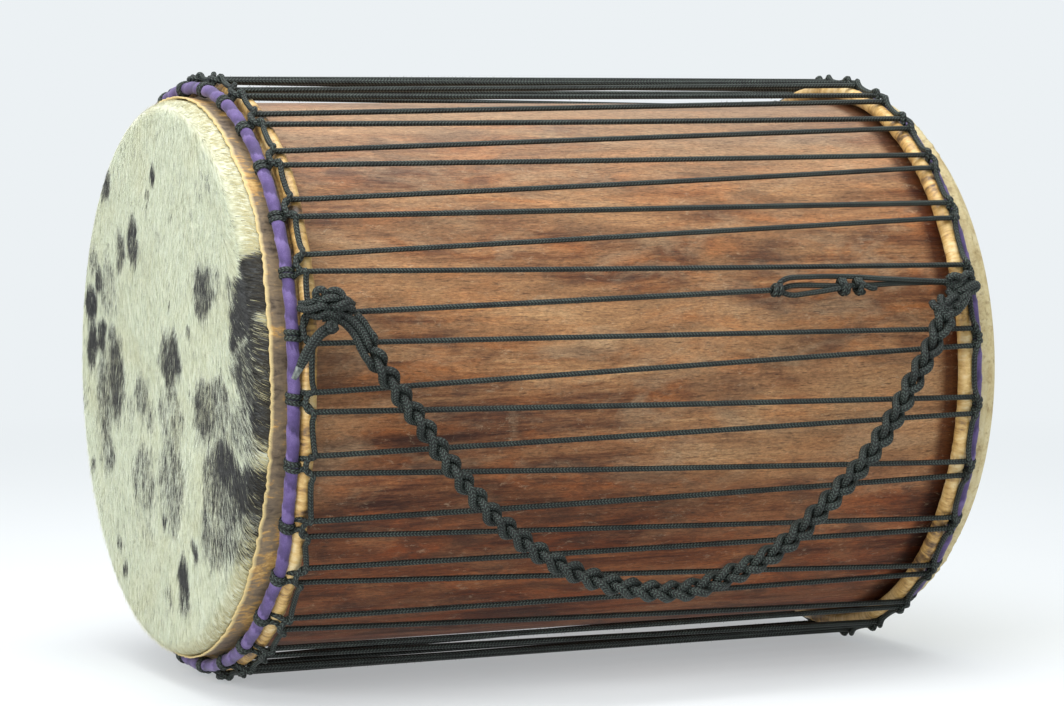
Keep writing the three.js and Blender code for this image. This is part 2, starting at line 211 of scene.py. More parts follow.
def mask(tree, factor, start, end, first=0.0, last=1.0):
    """Grey along a factor, from the first value at the start to the last one at the end."""
    made = node(tree, "ValToRGB", {"Fac": factor})
    for element, stop, grey in zip(made.color_ramp.elements, (start, end), (first, last)):
        element.position, element.color = stop, (grey, grey, grey, 1)
    return made.outputs["Color"]


def mixed(tree, factor, first, second, blend="MIX"):
    """Two colours mixed by a factor."""
    made = node(tree, "Mix", data_type="RGBA", blend_type=blend)
    for socket, value in ((0, factor), (6, first), (7, second)):
        if isinstance(value, bpy.types.NodeSocket):
            tree.links.new(value, made.inputs[socket])
        else:
            made.inputs[socket].default_value = (*value, 1) if isinstance(value, tuple) else value
    return made.outputs[2]


def finish(name):
    """A new material, its node tree, its shader, and the shaded point's place in the frame."""
    material = bpy.data.materials.new(name)
    material.use_nodes = True
    tree = material.node_tree
    spot = node(tree, "TexCoord").outputs["Object"]
    return material, tree, tree.nodes["Principled BSDF"], spot


def joined_to(tree, shader, base, rough, height=None, depth=0.0005, strength=1.0):
    """Colour, roughness and bump given to a shader. The roughness may be one plain value."""
    tree.links.new(base, shader.inputs["Base Color"])
    if isinstance(rough, float):
        shader.inputs["Roughness"].default_value = rough
    else:
        tree.links.new(rough, shader.inputs["Roughness"])
    if height is not None:
        bump = node(tree, "Bump", {"Height": height, "Distance": depth, "Strength": strength})
        tree.links.new(bump.outputs[0], shader.inputs["Normal"])


# The lay of a braided cord: columns of small slanting stitches, high on top and low between,
# that slant one way and the other by turns. Its height is the cord's bump, and it also darkens the
# colour between the stitches as painted shade.
lay = bpy.data.node_groups.new("cord lay", "ShaderNodeTree")
for name, way in (("Columns", "INPUT"), ("Stitch length", "INPUT"), ("Height", "OUTPUT")):
    lay.interface.new_socket(name, in_out=way, socket_type="NodeSocketFloat")
entry, leave = lay.nodes.new("NodeGroupInput"), lay.nodes.new("NodeGroupOutput")
run = node(lay, "SeparateXYZ", {0: node(lay, "UVMap").outputs[0]})
along = maths(lay, "DIVIDE", run.outputs[0], entry.outputs["Stitch length"])
round_it = times(lay, run.outputs[1], entry.outputs["Columns"])
slant = maths(lay, "PINGPONG", round_it, 1.0)
phase = times(lay, plus(lay, along, times(lay, slant, 0.8)), 2 * math.pi)
stitch = ranged(lay, maths(lay, "SINE", phase), -1.0, 1.0, 0.15, 1.0)
groove = maths(lay, "ABSOLUTE", maths(lay, "SINE", times(lay, round_it, math.pi)))
groove = plus(lay, times(lay, groove, 0.6), 0.4)
lay.links.new(times(lay, stitch, groove), leave.inputs["Height"])


def braided(name, columns, stitch_length):
    """Worn black cord of so many columns of stitches, each stitch of the length given."""
    material, tree, shader, spot = finish(name)
    braid = node(tree, "Group", node_tree=lay)
    braid.inputs["Columns"].default_value = columns
    braid.inputs["Stitch length"].default_value = stitch_length
    worn = speckle(tree, spot, 55, 4)
    fluff = speckle(tree, spot, 900, 2)
    # The colour follows the stitches: lighter on their worn tops, and darker between them as
    # painted shade.
    top = times(tree, braid.outputs[0], plus(tree, worn, 0.25))
    top = plus(tree, top, times(tree, fluff, 0.25))
    base = ramp(tree, top, (0.12, 4, 6, 5), (0.42, 14, 19, 17), (0.85, 76, 88, 81))
    joined_to(tree, shader, base, 0.55, braid.outputs[0], 0.0007)
    shader.inputs["Specular IOR Level"].default_value = 0.35
    return material


cord_black = braided("black strap cord", 8, 0.0021)
lacing_black = braided("black lacing cord", 6, 0.0026)

axis_height = 0.2248
strap_route = [
    Vector((x / 1000, y / 1000, z / 1000 + axis_height))
    for x, y, z in (
        (-240, -223.7, 53.3), (-234.5, -224.5, 52), (-229.5, -226, 46.5), (-225.5, -227.6, 39),
        (-221.8, -229, 31.5), (-218.3, -230, 23), (-210.5, -230.8, 13), (-202, -231, 1),
        (-191, -231, -13), (-176, -231, -34), (-156, -231, -60), (-134, -231, -84),
        (-109, -231, -105), (-78, -231, -124.5), (-43, -231, -138), (-4, -231, -145.5),
        (22, -231, -145.5), (52, -231, -137.5), (80, -231, -127), (104, -231, -113),
        (128, -231, -93), (150, -231, -73), (172, -231, -50), (190, -231, -26), (205, -231, -1),
        (217, -230.5, 17), (226, -229, 32), (231.5, -226.3, 44), (236, -224.2, 51.5),
        (241, -223.7, 53.3), (246, -223.7, 53.3),
    )
]
strand_radius = 0.0029
plait_reach, plait_depth, plait_length = 0.0053, 0.0033, 0.0465


def at(along, radius, angle):
    """A point by its millimetres along the drum and out from its axis, and its degrees up."""
    turn = math.radians(angle)
    y, z = -radius * math.cos(turn), radius * math.sin(turn)
    return Vector((along / 1000, y / 1000, z / 1000 + axis_height))


def through(stops):
    return [at(*stop) for stop in stops]


def plaited(line, leads, first):
    """The three strands of a flat plait along a line of close points, each after its own lead."""
    strands = [through(lead) for lead, _ in leads]
    gone = 0.0
    for i, here in enumerate(line):
        before, after = line[max(i - 1, 0)], line[min(i + 1, len(line) - 1)]
        gone += (here - before).length
        forward = (after - before).normalized()
        away = Vector((0, -1, 0))
        across = forward.cross(away).normalized()
        lean = 0.3 + 0.35 * math.sin(gone * 9)
        across, away = (
            across * math.cos(lean) + away * math.sin(lean),
            away * math.cos(lean) - across * math.sin(lean),
        )
        for k, (strand, (_, start)) in enumerate(zip(strands, leads)):
            if gone > start:
                angle = first + 2 * math.pi * (gone / plait_length + k / 3)
                wander = 0.0006 * noise.noise(here * 60 + Vector((k * 7.3, 0, 0)))
                side = plait_reach * math.sin(angle) + wander
                strand.append(here + across * side + away * plait_depth * math.sin(2 * angle))
    return strands


strap_leads = (
    ([(-241, 230.5, 12.9), (-236.8, 231, 11.7), (-233.2, 231.5, 10.2), (-230.8, 231.5, 8.6),
      (-228, 232, 7.1), (-224.6, 232, 5.9)], 0.0395),
    ([(-241, 232, 14.2), (-237, 232.8, 13.5), (-232.6, 233.3, 12.3), (-228.6, 233, 10.8),
      (-225.8, 232.5, 9.2)], 0.027),
    ([(-233.1, 233.5, 14.1), (-227.8, 232.5, 12.8), (-224.2, 231.5, 11.4)], 0.0205),
)
strap_line = smooth(strap_route, 0.003)
strap_strands = plaited(strap_line, strap_leads, -2.888)
strap_shape = cord_mesh(strap_strands, strand_radius, sides=10)
strap = piece("carrying_strap_plait", strap_shape, [cord_black], "strap", "carrying_strap")


# The strap's knots. At the front it is tied round the rings in a lump of doubled cord, with a
# round stopper and a doubled tail that hangs free. At the back its end is hitched to the lacing's.
front_knot_stops = (
    [(-268.7, 220, 16.9), (-264.6, 223, 16.8), (-261.4, 227, 16.7), (-259.4, 230, 17.1),
     (-257.2, 232, 17.6)],
    [(-269.7, 222, 16.2), (-265.9, 227, 15.5), (-261.8, 232, 15.5), (-257.9, 234, 15.7),
     (-253.6, 233, 15.6), (-248.6, 230, 15.3)],
    [(-258.5, 229, 17.4), (-260.3, 232, 18), (-258.8, 234, 18.5), (-255.7, 234.5, 18.4),
     (-253.9, 234, 17.8), (-254.4, 232, 17.2)],
    [(-258, 230, 16.4), (-256, 234, 16.8), (-252.3, 236.5, 16.9), (-247.8, 236, 16.9),
     (-244.1, 233.5, 16.5)],
    [(-251.2, 231, 17.8), (-249.7, 234, 18.2), (-246.2, 234.5, 18.3), (-243, 235, 17.8),
     (-241.4, 235.5, 16.8), (-238.1, 235, 16.4), (-234.6, 233, 15.7)],
    [(-250.4, 232, 16), (-247.3, 235.5, 15.5), (-243.1, 237, 15.8), (-238.4, 235.5, 16.1),
     (-234.5, 233, 15.9)],
    [(-248.3, 231, 15.4), (-244.4, 234.5, 15.2), (-239.5, 236, 15.4), (-235.2, 234.5, 14.9)],
    [(-262, 226, 14.6), (-258.3, 230, 14.1), (-254.3, 232, 14.6), (-249.3, 232.5, 14.2),
     (-244.4, 231, 13.5)],
    [(-255.9, 228, 15.1), (-250.3, 230.5, 14.8), (-245.1, 232, 14.5), (-240.8, 232.5, 14.2)],
    [(-256, 226, 16.2), (-250.1, 228, 16.2), (-242.7, 229, 15.9), (-236.4, 229, 15.1)],
    [(-256.9, 226, 17.1), (-250.3, 228, 17.1), (-242.8, 229, 17), (-236, 229, 15.9)],
    [(-263.5, 222, 15.6), (-256, 224.5, 15), (-248, 227, 14.3), (-240, 228, 13.4)],
    [(-255.9, 228, 13.9), (-250.9, 230, 13.8), (-246.1, 230.5, 13.4), (-241.9, 230.5, 13),
     (-238, 231, 12)],
    [(-246.2, 230, 14.5), (-241.9, 232, 14.3), (-237.9, 232.8, 13.7)],
    [(-252.7, 229, 12.2), (-256.6, 231, 11.9), (-261.7, 232.5, 11), (-266.4, 232.5, 9.7),
     (-270.3, 231.5, 8.3), (-273.5, 230.5, 6.8), (-276.7, 229.5, 5.2), (-280, 229, 3.7)],
    [(-251.6, 229, 11.7), (-255.1, 231, 11.4), (-260, 232, 10.6), (-264.6, 231.8, 9.3),
     (-268.4, 231, 7.9), (-271.7, 230, 6.5), (-275, 229.2, 5), (-278.7, 229, 3.6)],
)
knot_routes = [through(stops) for stops in front_knot_stops]
stopper_x, stopper_angle = -251.2, 12.2
stopper = []
for k in range(13):
    along, turn = stopper_x + 2.4 * math.cos(k), stopper_angle + 0.6 * math.sin(k)
    stopper.append(at(along, 230 + 0.35 * k, turn))
knot_routes.append([*stopper, at(stopper_x, 235.4, stopper_angle)])
front_knot_radius = 0.0027
knot_shape = cord_mesh(knot_routes, front_knot_radius, sides=10)
tail_tip, tail_above = at(-280, 229, 3.4), at(-270, 231.2, 7.9)
tail_way = (tail_above - tail_tip).normalized()
taper_length, taper_share, melted_length = 0.016, 0.55, 0.0105
for vert in knot_shape.verts:
    near = max(0, 1 - (vert.co - tail_tip).length / taper_length)
    centre = tail_tip + tail_way * (vert.co - tail_tip).dot(tail_way)
    vert.co += (centre - vert.co) * taper_share * near
for face in knot_shape.faces:
    if (face.calc_center_median() - tail_tip).length < melted_length:
        face.material_index = 1
melted, tree, shader, spot = finish("melted cord end")
base = ramp(tree, speckle(tree, spot, 260, 3), (0.35, 62, 68, 65), (0.65, 122, 128, 123))
joined_to(tree, shader, base, 0.45, speckle(tree, spot, 700, 2), 0.0004, 0.5)
front_knot = piece("front_knot_cords", knot_shape, [cord_black, melted], "drum", "front_strap_knot")

back_knot_stops = (
    [(242, 228, 18.2), (244.8, 231, 18.6), (248.9, 232.5, 18.3), (251.3, 232, 17.7),
     (250.2, 230, 16.9), (245.1, 228, 16.5)],
    [(248, 227, 16.1), (250.6, 231, 15.8), (256.2, 232.5, 16.4), (263.5, 231, 16.9),
     (265.3, 229, 16.5), (258.6, 229, 15.6), (252, 228, 15.1)],
    [(252.4, 229, 16.8), (252.6, 231.5, 17.9), (255.6, 232, 18.8), (259.6, 231, 18.7),
     (261.7, 229, 17.7), (262.9, 227, 16.4), (262.6, 225, 15.4)],
    [(241.8, 226, 16.2), (243.3, 228, 15), (247.2, 229.5, 14.3), (251.6, 231, 14.6),
     (254.5, 231.5, 15.6), (254.5, 230, 16.9)],
    [(234.1, 228, 14.1), (237.1, 230, 13.8), (241.8, 230.5, 13.5), (246.4, 230, 13.5),
     (250.4, 230, 14.4), (253.3, 229, 15.4)],
    [(235.1, 229, 12.1), (237.4, 230.5, 11.5), (243.2, 231, 11.8), (248, 231, 12.7),
     (252.3, 230.5, 13.8), (255.8, 229, 15.2)],
    [(240, 229, 9.5), (237.7, 232, 10.3), (232.8, 233.5, 11), (228.2, 233.5, 12.2),
     (224.3, 232, 13), (224.3, 230, 13.8)],
    [(233.1, 229, 14.8), (230.6, 232, 13.5), (232.1, 233, 12.5), (236.9, 232, 12.4),
     (239.1, 230.5, 13.3), (237.9, 229, 14.1)],
    [(233.1, 230, 8.6), (235.2, 232.5, 9.1), (236.6, 233.5, 9.9), (234.1, 231.5, 11.3),
     (229.6, 229.5, 12)],
    [(241, 223.5, 17.9), (247, 227.5, 17.6), (253, 229, 17.4), (258, 228, 17.6), (263, 223, 17.8)],
    [(242, 224, 16.9), (249, 228, 16.9), (254, 229.5, 17), (259, 228, 17.1), (263, 224, 17.2)],
    [(244, 225, 15.9), (250, 228.5, 15.4), (256, 228.5, 15.9), (261, 225, 16.4)],
)
knot_routes = [through(stops) for stops in back_knot_stops]
knot_shape = cord_mesh(knot_routes, strand_radius, sides=10)
back_knot = piece("back_knot_cords", knot_shape, [cord_black], "drum", "back_strap_hitch")


# The shell. It is one reddish hardwood log, hollowed and turned, with long grain, stains from
# handling, and a dull oiled finish. Its colour also holds painted light and a painted sheen on top
# and painted shade low down, and a painted shadow lies with a rope stain beside the back head's
# fold.
def spun(outline, steps):
    """A bmesh of an outline of points along and out from the drum's axis, turned right round it."""
    shape = bmesh.new()
    verts = [shape.verts.new((x, 0, r)) for x, r in outline]
    pairs = zip(verts, [*verts[1:], verts[0]])
    edges = [shape.edges.new(pair) for pair in pairs if pair[0].co.z + pair[1].co.z > 0]
    bmesh.ops.spin(
        shape,
        geom=verts + edges,
        cent=(0, 0, 0),
        axis=(1, 0, 0),
        angle=2 * math.pi,
        steps=steps,
        use_merge=True,
    )
    bmesh.ops.remove_doubles(shape, verts=shape.verts, dist=1e-6)
    bmesh.ops.recalc_face_normals(shape, faces=shape.faces)
    bmesh.ops.translate(shape, verts=shape.verts, vec=(0, 0, axis_height))
    for face in shape.faces:
        face.smooth = True
    return shape


def arc(centre, radius, first, last, parts):
    """Points on an arc, its angles in degrees from the drum's axis outwards."""
    angles = [math.radians(first + (last - first) * k / parts) for k in range(parts + 1)]
    return [(centre[0] + radius * math.cos(a), centre[1] + radius * math.sin(a)) for a in angles]


def polar(place):
    """How far a place is from the drum's axis, and its degrees up."""
    y, z = place.y, place.z - axis_height
    return math.hypot(y, z), math.degrees(math.atan2(z, -y))


def move(vert, along, outwards):
    """Move a vertex along the drum and out from its axis."""
    y, z = vert.co.y, vert.co.z - axis_height
    radius = math.hypot(y, z)
    vert.co.x += along
    vert.co.y += y / radius * outwards
    vert.co.z += z / radius * outwards


shell_half, shell_radius, shell_bore = 0.295, 0.2015, 0.1835
inner_round, outer_round = 0.005, 0.009
straight_end = shell_half - outer_round
one_end = arc((shell_half - inner_round, shell_bore + inner_round), inner_round, 270, 360, 4)
one_end += arc((straight_end, shell_radius - outer_round), outer_round, 0, 90, 6)
between = [(straight_end - 0.0286 * k, shell_radius) for k in range(1, 20)]
outline = one_end + between + [(-x, r) for x, r in reversed(one_end)]
shell_shape = spun(outline, 240)
for vert in shell_shape.verts:
    x, y, z = vert.co.x, vert.co.y, vert.co.z - axis_height
    if polar(vert.co)[0] > shell_radius - 0.001 and abs(x) < 0.25:
        move(vert, 0, 0.0006 * noise.noise(Vector((x * 2, y * 9, z * 9))) - 0.0003)

wood, tree, shader, spot = finish("oiled red wood")
sway = speckle(tree, stretched(tree, spot, (5, 16, 16)), 1.0, 2)
sway = times(tree, sway, 0.016)
sway = node(tree, "CombineXYZ", {1: sway, 2: sway}).outputs[0]
wavy = node(tree, "VectorMath", {0: spot, 1: sway}, operation="ADD").outputs[0]
broad = speckle(tree, stretched(tree, wavy, (2.4, 10, 10)), 1.6, 4, 0.55, 0.6)
streak = speckle(tree, stretched(tree, wavy, (5, 75, 75)), 1.5, 7, 0.7, 0.35)
line = speckle(tree, stretched(tree, wavy, (22, 520, 520)), 1.0, 4, 0.7)
fleck = speckle(tree, stretched(tree, wavy, (130, 1300, 1300)), 1.0, 2, 0.6)
figure = plus(tree, times(tree, streak, 0.42), times(tree, line, 0.24))
figure = plus(tree, figure, times(tree, broad, 0.4))
wood_tones = (
    (0.41, 66, 38, 26), (0.47, 108, 68, 43), (0.53, 142, 98, 64), (0.59, 168, 123, 83),
    (0.67, 202, 160, 114),
)
base = ramp(tree, figure, *wood_tones)
glow = speckle(tree, stretched(tree, wavy, (9, 38, 38)), 1.4, 4, 0.6, 0.5)
glow = mask(tree, glow, 0.5, 0.66)
base = mixed(tree, times(tree, glow, 0.45), base, colour(192, 116, 60))
dust = speckle(tree, stretched(tree, wavy, (14, 34, 34), (0, 0, 0.2)), 1.2, 5, 0.65, 0.6)
dust = mask(tree, dust, 0.5, 0.66)
base = mixed(tree, times(tree, dust, 0.5), base, colour(172, 148, 118))
parts = node(tree, "SeparateXYZ", {0: spot})
# A height factor with some noise, for painted light and shade: it is 1 low down and 0 higher up.
high = plus(tree, parts.outputs[2], times(tree, broad, 0.09))
low = ranged(tree, high, 0.13, 0.26, 1.0, 0.0, "SMOOTHSTEP")
cloud = speckle(tree, stretched(tree, wavy, (11, 30, 30)), 1.7, 5, 0.65, 0.8)
cloud = mask(tree, cloud, 0.49, 0.63)
# The dark clouds are stains, made a little denser low down as painted shade.
cloud = times(tree, cloud, plus(tree, times(tree, low, 0.15), 0.5))
base = mixed(tree, cloud, base, colour(74, 54, 45))
# Paler patches on the upper side only: painted light from above.
painted_top_light = speckle(tree, stretched(tree, wavy, (3, 9, 9)), 1.3, 4, 0.6, 0.4)
painted_top_light = mask(tree, painted_top_light, 0.42, 0.58, 0.0, 0.42)
painted_top_light = times(tree, maths(tree, "SUBTRACT", 1.0, low), painted_top_light)
base = mixed(tree, painted_top_light, base, colour(200, 156, 110))
# A painted grey sheen along the top of the shell.
high = ranged(tree, parts.outputs[2], 0.36, 0.425, 0.0, 0.35)
base = mixed(tree, high, base, colour(168, 154, 138))
# The wood is made darker and redder low down: painted shade.
base = mixed(tree, low, base, colour(214, 176, 150), "MULTIPLY")
# A dark band on the wood beside the back head's fold: partly a stain from the rope, partly painted
# shadow where the fold shades the wood.
rope_stain_and_shadow = plus(tree, parts.outputs[0], times(tree, broad, 0.006))
rope_stain_and_shadow = ranged(tree, rope_stain_and_shadow, 0.246, 0.254)
base = mixed(tree, rope_stain_and_shadow, base, colour(140, 112, 88), "MULTIPLY")
scuff = speckle(tree, stretched(tree, spot, (60, 130, 130)), 1.6, 7, 0.82, 0.5)
scuff = mask(tree, scuff, 0.57, 0.68)
base = mixed(tree, times(tree, scuff, 0.42), base, colour(206, 184, 152))
dash = mask(tree, fleck, 0.3, 0.43, 1.0, 0.0)
base = mixed(tree, times(tree, dash, 0.65), base, colour(56, 34, 24))
grit = speckle(tree, stretched(tree, spot, (260, 800, 800)), 1.0, 4, 0.8)
grit = mask(tree, grit, 0.36, 0.64, 0.12, 0.9)
base = mixed(tree, 0.4, base, grit, "OVERLAY")
grain = maths(tree, "SUBTRACT", line, times(tree, dash, 0.6))
rough = ranged(tree, streak, 0.3, 0.7, 0.62, 0.45)
joined_to(tree, shader, base, rough, grain, 0.0006, 0.5)
shader.inputs["Specular IOR Level"].default_value = 0.3
shell = piece("turned_shell", shell_shape, [wood], "drum", "shell")


# The two heads. Each is a hide put on wet: over the edge, round its flesh ring and back out as
# a cut flap. The front hide keeps its spotted hair, and the back one is shaved.
flesh_mean, flesh_radius, flap_mean = 0.2575, 0.21095, 0.2835
hide_half = 0.00065
disc_radius, edge_radius, edge_place = 0.1925, 0.00995, 0.286
side_end, skirt_end, flap_start = 0.2775, 0.2033, 0.2640


def bent(bends, angle):
    """Where a ring bent by hand lies along the drum at an angle in degrees."""
    turn = (angle + 90) % 360 - 90
    for (first, here), (last, there) in zip(bends, bends[1:]):
        if turn <= last:
            share = (turn - first) / (last - first)
            return (here + (there - here) * share * share * (3 - 2 * share)) / 1000


def hide_line(disc_step):
    """The middle of the hide's thickness, from the head's middle to the flap's cut edge."""
    rings = math.ceil(disc_radius / disc_step)
    line = [(edge_place + edge_radius, disc_radius * k / rings) for k in range(rings)]
    line += arc((edge_place, disc_radius), edge_radius, 0, 90, 9)
    line += [(0.2800, 0.20245), (0.2735, 0.20245), (0.2685, 0.20245), (0.2635, 0.2028)]
    line += arc((flesh_mean, flesh_radius), 0.00495, 262, -38, 24)
    line += [(0.2632, 0.2057), (0.2652, 0.20455), (0.2680, 0.20412)]
    line += [(0.2680 + 0.0031 * k, 0.20405) for k in range(1, 6)]
    return line


def hide_shape(side, disc_step, steps, flesh_bends, flap_bends, flare):
    """The spun hide with its thickness, its rings' bends, its wrinkles and its ragged edge."""
    line = [Vector(p) for p in hide_line(disc_step)]
    faces_out, faces_in = [], []
    for before, here, after in zip([line[0], *line], line, [*line[1:], line[-1]]):
        way = (after - before).normalized()
        offset = Vector((way.y, -way.x)) * hide_half
        faces_out.append(here + offset)
        faces_in.append(here - offset)
    kept = [p for p in faces_in if p.y > 0.185 or p.x < 0.29]
    outline = faces_out + kept[::-1] + [Vector((kept[0].x, 0))]
    shape = spun([(side * p.x, p.y) for p in outline], steps)
    rim = shape.verts.layers.float.new("rim")
    for face in shape.faces:
        middle = face.calc_center_median()
        x, radius = side * middle.x, polar(middle)[0]
        if x <= side_end or radius >= skirt_end:
            face.material_index = 1 if x > flap_start and radius > skirt_end else 2
    for vert in shape.verts:
        x, (radius, angle) = side * vert.co.x, polar(vert.co)
        if radius < 0.2016 or x > 0.2855:
            continue
        ring_shift = bent(flesh_bends, angle) - flesh_mean
        out = Vector((0, vert.co.y, vert.co.z - axis_height)) / radius
        place = Vector((out.y * 30, out.z * 30, side * 3))
        if radius > 0.20325 and x > flap_start:
            share = min((x - flap_start) / (flap_mean - flap_start), 1)
            ragged = noise.noise(place * 2.1) * 0.0015 + noise.noise(place * 7) * 0.0007
            lift = 0.0009 + 0.0008 * noise.noise(place * 3.1) + flare * abs(out.z) ** 1.5
            curl = noise.noise(place * 9) * 0.0002 * share
            shift = ring_shift * (1 - share) + (bent(flap_bends, angle) - flap_mean) * share
            vert.co.x += side * (shift + ragged * share**2)
            vert.co += out * (share**3 * lift + curl)
            vert[rim] = max(0, (share - 0.86) / 0.14)
        elif radius > 0.20325:
            vert.co.x += side * ring_shift
            away = Vector((x - flesh_mean, radius - flesh_radius))
            if radius > 0.2065:
                crease = noise.noise(place * 2.3) * 0.0004 + noise.noise(place * 8) * 0.00025
                away = away.normalized() * (crease + 0.0001)
                vert.co.x += side * away.x
                vert.co += out * away.y
        else:
            share = min(max((0.2785 - x) / 0.015, 0), 1)
            vert.co.x += side * ring_shift * share * share * (3 - 2 * share)
    return shape


def from_axis(tree, spot):
    """A place as seen from the middle of the drum, and not from the floor."""
    sockets = {0: spot, 1: (0, 0, axis_height)}
    return node(tree, "VectorMath", sockets, operation="SUBTRACT").outputs[0]


def rawhide(name, tones, rough, rim_tone=None):
    """Dried bare hide: mottled, with creases across the ring and a dull shine."""
    material, tree, shader, spot = finish(name)
    mottle = speckle(tree, spot, 26, 4, 0.55, 0.5)
    fine = speckle(tree, spot, 300, 4, 0.65)
    parts = node(tree, "SeparateXYZ", {0: from_axis(tree, spot)})
    turn = times(tree, maths(tree, "ARCTAN2", parts.outputs[2], parts.outputs[1]), 2.6)
    sweep = node(tree, "CombineXYZ", {0: times(tree, parts.outputs[0], 4.0), 1: turn})
    crease = speckle(tree, sweep.outputs[0], 20, 4, 0.65, 0.7)
    mix = plus(tree, times(tree, mottle, 0.55), times(tree, crease, 0.4))
    mix = plus(tree, mix, times(tree, fine, 0.12))
    base = ramp(tree, mix, *tones)
    if rim_tone:
        edge = node(tree, "Attribute", attribute_name="rim").outputs["Fac"]
        base = mixed(tree, edge, base, rim_tone)
    height = plus(tree, times(tree, crease, 0.8), times(tree, fine, 0.2))
    joined_to(tree, shader, base, rough, height, 0.0014, 0.7)
    return material


fold_tones = (
    (0.41, 76, 56, 38), (0.46, 136, 106, 68), (0.51, 190, 150, 86), (0.58, 218, 184, 120),
    (0.68, 236, 214, 166),
)
fold_hide = rawhide("golden fold hide", fold_tones, 0.36)
flap_tones = (
    (0.4, 72, 60, 47), (0.47, 114, 99, 80), (0.56, 140, 120, 92), (0.6, 186, 144, 82),
    (0.68, 226, 192, 126),
)
flap_hide = rawhide("brown flap hide", flap_tones, 0.55, colour(214, 190, 132))

spots = (
    (130, 142, 14, 13, 0.7), (95, 92, 12, 19, 0.65), (66, 100, 15, 21, 0.75), (17, 152, 5, 9, 1),
    (30, 136, 4, 4, 0.7), (9, 179, 5, 3, 0.5), (-22, 121, 6, 4, 0.35), (165, 82, 13, 13, 0.5),
    (168, 47, 15, 15, 1), (152, 68, 11, 11, 0.75), (168, 15, 17, 18, 0.82), (142, 24, 11, 14, 0.8),
    (126, 60, 26, 26, 0.4), (108, -5, 22, 34, 0.72), (118, 22, 14, 14, 0.6),
    (136, -20, 22, 38, 0.55), (130, -65, 19, 20, 0.5), (187, -25, 13, 13, 0.3),
    (45, -15, 15, 18, 0.52), (72, -30, 13, 12, 0.35), (28, -30, 14, 14, 0.38),
    (-20, 18, 25, 21, 0.76), (-22, -24, 29, 26, 0.45), (-24, -72, 32, 34, 0.52),
    (43, -76, 34, 28, 0.48), (35, -105, 20, 22, 0.28), (-94, 70, 23, 22, 0.66),
    (-118, 75, 15, 17, 0.4), (-143, 72, 8, 12, 0.4), (-95, 145, 18, 10, 0.3),
    (-68, 121, 6, 5, 0.45), (-62, 40, 4, 4, 0.8), (-17, 52, 4, 4, 0.8), (5, 105, 8, 5, 0.35),
    (-92, -15, 22, 26, 0.62), (-122, -14, 30, 27, 0.56), (-118, -55, 26, 22, 0.62),
    (-142, -52, 30, 20, 0.86), (-112, -92, 27, 38, 0.54), (-138, -90, 32, 36, 0.6),
    (-165, -95, 26, 24, 0.5), (-196, 88, 28, 17, 1), (-184, 70, 32, 17, 1), (-170, 52, 24, 13, 1),
    (-156, 40, 9, 12, 0.95), (-192, 18, 40, 26, 0.72), (-204, 38, 26, 14, 0.8),
    (-178, -20, 40, 24, 0.5), (-204, -12, 20, 20, 0.9), (-184, -64, 38, 21, 0.9),
    (-196, -84, 26, 14, 0.6), (-49, -141, 13, 16, 0.9), (-47, -158, 14, 10, 0.6),
    (-75, -120, 6, 7, 0.95), (-70, -114, 4, 4, 0.9), (-3, -103, 5, 5, 0.8),
    (-28, -104, 14, 8, 0.45), (92, -148, 5, 5, 0.8), (105, -131, 6, 6, 0.55), (168, -78, 6, 6, 0.6),
    (-10, -160, 12, 12, 0.35), (33, 124, 3, 3, 0.5),
)


def spotted(y, z):
    """How dark the hair is at a place on the front head, given in metres across and up."""
    place = Vector((y * 28, z * 28, 0))
    far, near = place + Vector((5, 5, 5)), place * 4 + Vector((3, 3, 3))
    y += 0.006 * noise.noise(place) + 0.003 * noise.noise(place * 4)
    z += 0.006 * noise.noise(far) + 0.003 * noise.noise(near)
    dark = 0.0
    for mid_y, mid_z, reach_y, reach_z, depth in spots:
        away = math.hypot((y * 1000 - mid_y) / reach_y, (z * 1000 - mid_z) / reach_z)
        if away < 1.4:
            edge = min(max((1.35 - away) / 0.75, 0), 1)
            dark = max(dark, depth * edge * edge * (3 - 2 * edge))
    return dark


hair_hide, tree, shader, spot = finish("spotted hair hide")
strand = speckle(tree, stretched(tree, spot, (200, 130, 900), (0.24, 0, 0)), 1.0, 3, 0.6, 0.3)
tuft = speckle(tree, stretched(tree, spot, (60, 45, 240), (0.24, 0, 0)), 1.0, 4, 0.6, 0.4)
cloud = speckle(tree, spot, 22, 4, 0.6, 0.4)
dark = node(tree, "Attribute", attribute_name="dark_hair").outputs["Fac"]
push = plus(tree, times(tree, strand, 0.5), times(tree, tuft, 0.5))
push = plus(tree, maths(tree, "SUBTRACT", push, 0.5), dark)
darkness = ranged(tree, push, 0.15, 0.85, kind="SMOOTHSTEP")
tone = plus(tree, times(tree, cloud, 0.7), times(tree, strand, 0.3))
pale = ramp(tree, tone, (0.3, 198, 196, 166), (0.5, 212, 214, 190), (0.7, 222, 225, 206))
black = ramp(tree, strand, (0.35, 30, 30, 32), (0.7, 92, 94, 92))
joined_to(tree, shader, mixed(tree, darkness, pale, black), 0.8, strand, 0.0006, 0.5)

bare_hide, tree, shader, spot = finish("shaved back hide")
cloud = speckle(tree, spot, 48, 5, 0.65, 0.5)
fuzz = speckle(tree, spot, 500, 3, 0.7)
stubble = mask(tree, speckle(tree, spot, 190, 3), 0.58, 0.68)
tone = plus(tree, times(tree, cloud, 0.7), times(tree, fuzz, 0.3))
base = ramp(tree, tone, (0.32, 176, 152, 104), (0.5, 214, 198, 150), (0.68, 230, 218, 180))
base = mixed(tree, times(tree, stubble, 0.5), base, colour(140, 112, 74))
joined_to(tree, shader, base, 0.7, fuzz, 0.0006, 0.7)

